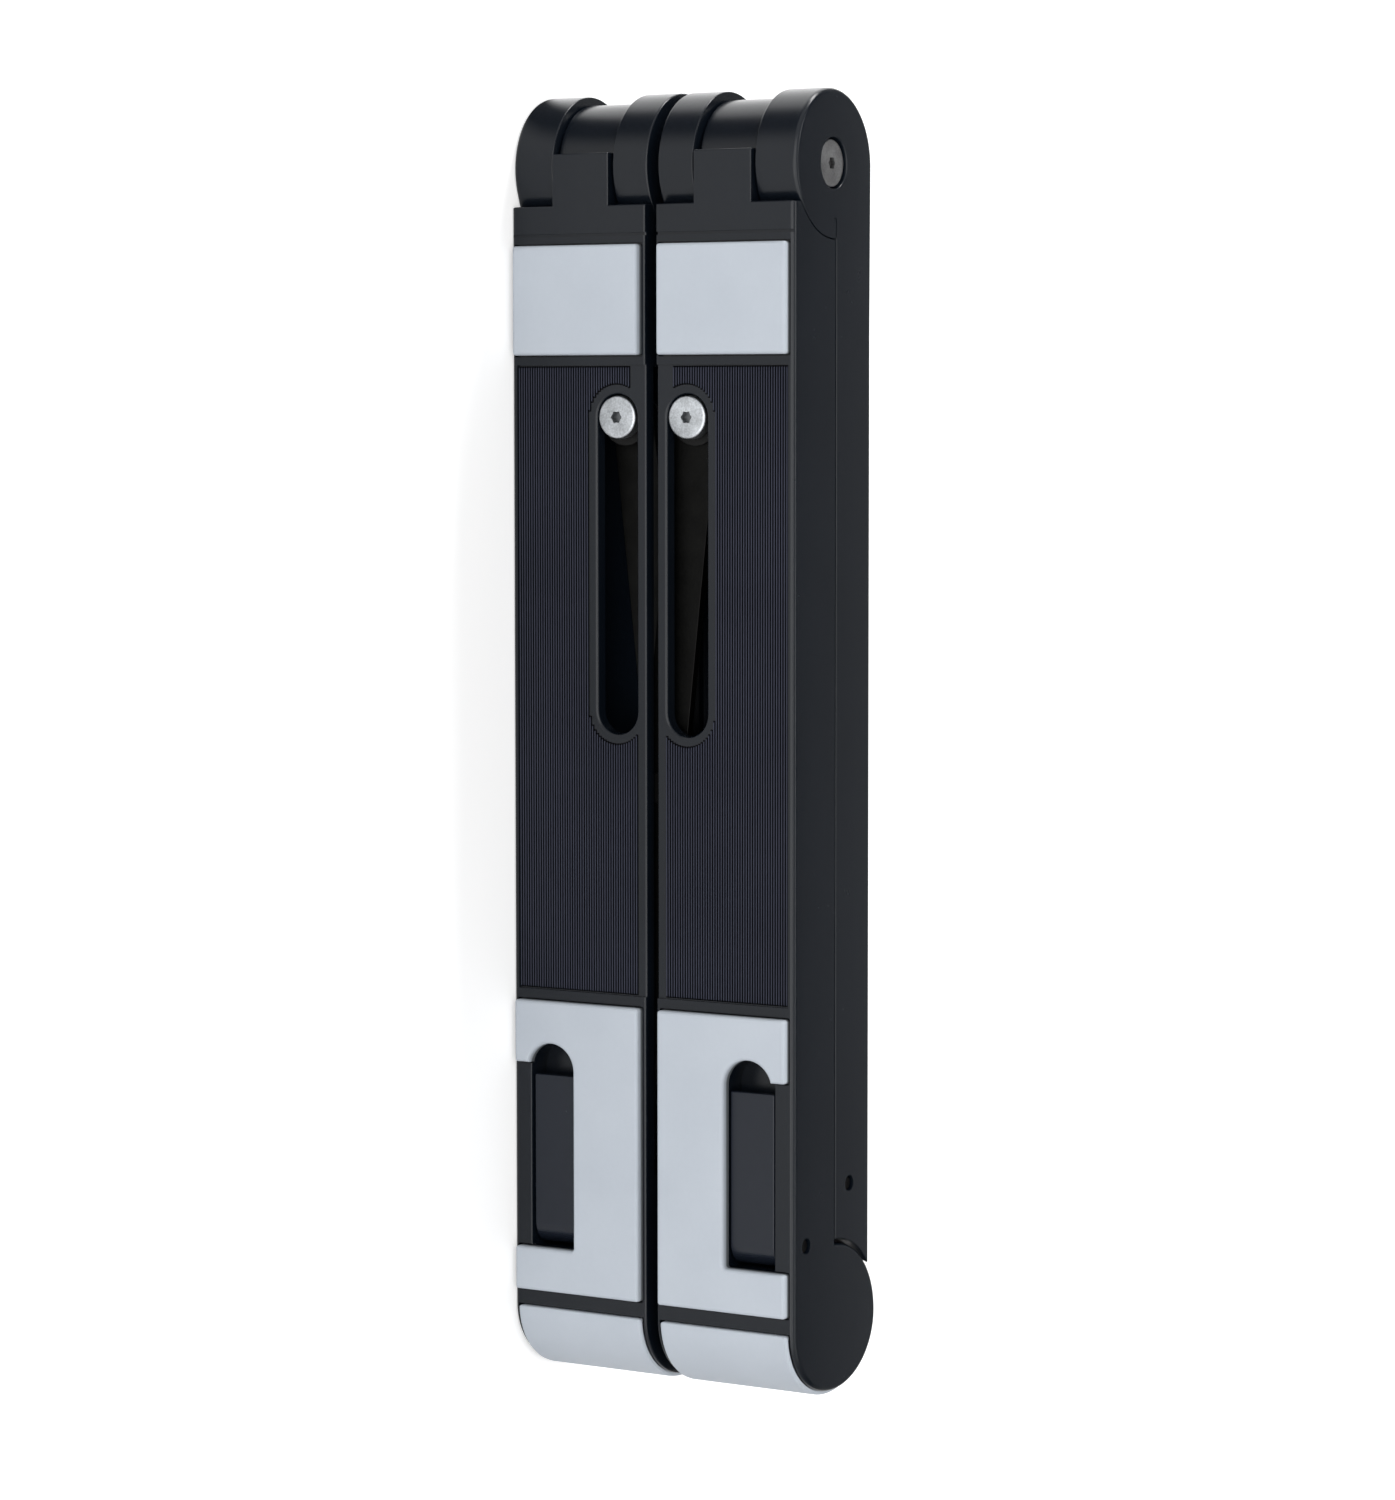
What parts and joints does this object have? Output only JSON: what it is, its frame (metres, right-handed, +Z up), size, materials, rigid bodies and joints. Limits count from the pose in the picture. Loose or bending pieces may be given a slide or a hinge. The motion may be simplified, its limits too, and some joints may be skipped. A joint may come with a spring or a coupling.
{
  "type": "laptop stand",
  "caption": "Folding laptop stand, folded flat: mirrored black arms with grey silicone pads and flip-out stops, legs hinged behind them, joined by a scissor linkage that lets the arms spread.",
  "frame": {"origin": "middle of the folded stand's underside as it lies on its left side face", "axes": "+Z up, across the stand from the left half to the right half; -X towards the leg hinges, +X towards the rounded feet; -Y is the way the padded faces look, so azimuth 0 faces the pads"},
  "size_m": [0.2698, 0.0358, 0.0686],
  "materials": {
    "shell": "satin black moulded plastic, front of the arms finely ribbed",
    "silicone": "matt light grey silicone",
    "screw_steel": "satin",
    "pin_steel": "satin grey",
    "bar_steel": "satin black",
    "slip_plastic": "matt natural",
    "rubber": "matt black"
  },
  "bodies": {
    "arm_left": {"arm_shell_left": "shell", "arm_cover_left": "shell", "arm_cover_screw_left_1": "screw_steel", "arm_cover_screw_left_2": "screw_steel", "rear_pad_left": "silicone", "front_pad_left": "silicone", "foot_pad_left": "silicone", "stop_pin_left": "pin_steel", "hinge_washer_left_inner": "slip_plastic", "hinge_washer_left_outer": "slip_plastic", "pivot_screw_left": "screw_steel", "pivot_nut_left": "screw_steel"},
    "arm_right": {"arm_shell_right": "shell", "arm_cover_right": "shell", "arm_cover_screw_right_1": "screw_steel", "arm_cover_screw_right_2": "screw_steel", "rear_pad_right": "silicone", "front_pad_right": "silicone", "foot_pad_right": "silicone", "stop_pin_right": "pin_steel", "hinge_washer_right_inner": "slip_plastic", "hinge_washer_right_outer": "slip_plastic", "pivot_screw_right": "screw_steel", "pivot_nut_right": "screw_steel", "pivot_spacer_right": "slip_plastic"},
    "leg_left": {"leg_shell_left": "shell", "leg_cover_left": "shell", "leg_cover_screw_left_1": "screw_steel", "leg_cover_screw_left_2": "screw_steel", "leg_foot_left": "rubber", "leg_foot_pin_left": "pin_steel", "hinge_pin_left": "pin_steel", "hinge_nut_left": "screw_steel"},
    "leg_right": {"leg_shell_right": "shell", "leg_cover_right": "shell", "leg_cover_screw_right_1": "screw_steel", "leg_cover_screw_right_2": "screw_steel", "leg_foot_right": "rubber", "leg_foot_pin_right": "pin_steel", "hinge_pin_right": "pin_steel", "hinge_nut_right": "screw_steel"},
    "stop_left": {"stop_tab_left": "shell"},
    "stop_right": {"stop_tab_right": "shell"},
    "scissor_front": {"scissor_bar_front": "bar_steel", "centre_rivet": "screw_steel", "slide_screw_right": "screw_steel", "slide_washer_right": "slip_plastic", "slide_nut_right": "screw_steel"},
    "scissor_back": {"scissor_bar_back": "bar_steel", "slide_screw_left": "screw_steel", "slide_washer_left": "slip_plastic", "slide_spacer_left": "slip_plastic", "slide_nut_left": "screw_steel"}
  },
  "joints": [
    {"name": "leg_left_hinge", "type": "hinge", "parent": "arm_left", "child": "leg_left", "pos_m": [-0.1196, 0.00015, 0.0173], "axis": [0, 0, 1], "range_deg": [0, 115]},
    {"name": "leg_right_hinge", "type": "hinge", "parent": "arm_right", "child": "leg_right", "pos_m": [-0.1196, 0.00015, 0.0513], "axis": [0, 0, 1], "range_deg": [0, 115]},
    {"name": "stop_left_flip", "type": "hinge", "parent": "arm_left", "child": "stop_left", "pos_m": [0.102, -0.01075, 0.01015], "axis": [0, 0, 1], "range_deg": [0, 90]},
    {"name": "stop_right_flip", "type": "hinge", "parent": "arm_right", "child": "stop_right", "pos_m": [0.102, -0.01075, 0.05845], "axis": [0, 0, 1], "range_deg": [0, 90]},
    {"name": "scissor_open", "type": "hinge", "parent": "arm_left", "child": "scissor_front", "pos_m": [0.0857, -0.01065, 0.0258], "axis": [0, 1, 0], "range_deg": [0, 46.5]},
    {"name": "scissor_cross", "type": "hinge", "parent": "scissor_front", "child": "scissor_back", "pos_m": [0.0089, -0.00945, 0.0343], "axis": [0, 1, 0], "range_deg": [-93, 0]},
    {"name": "scissor_close", "type": "hinge", "parent": "scissor_back", "child": "arm_right", "pos_m": [0.0857, -0.00825, 0.0428], "axis": [0, 1, 0], "range_deg": [0, 46.5]}
  ],
  "couplings": [
    {"joint": "scissor_cross", "follows": "scissor_open", "ratio": -2},
    {"joint": "scissor_close", "follows": "scissor_open", "ratio": 1}
  ]
}
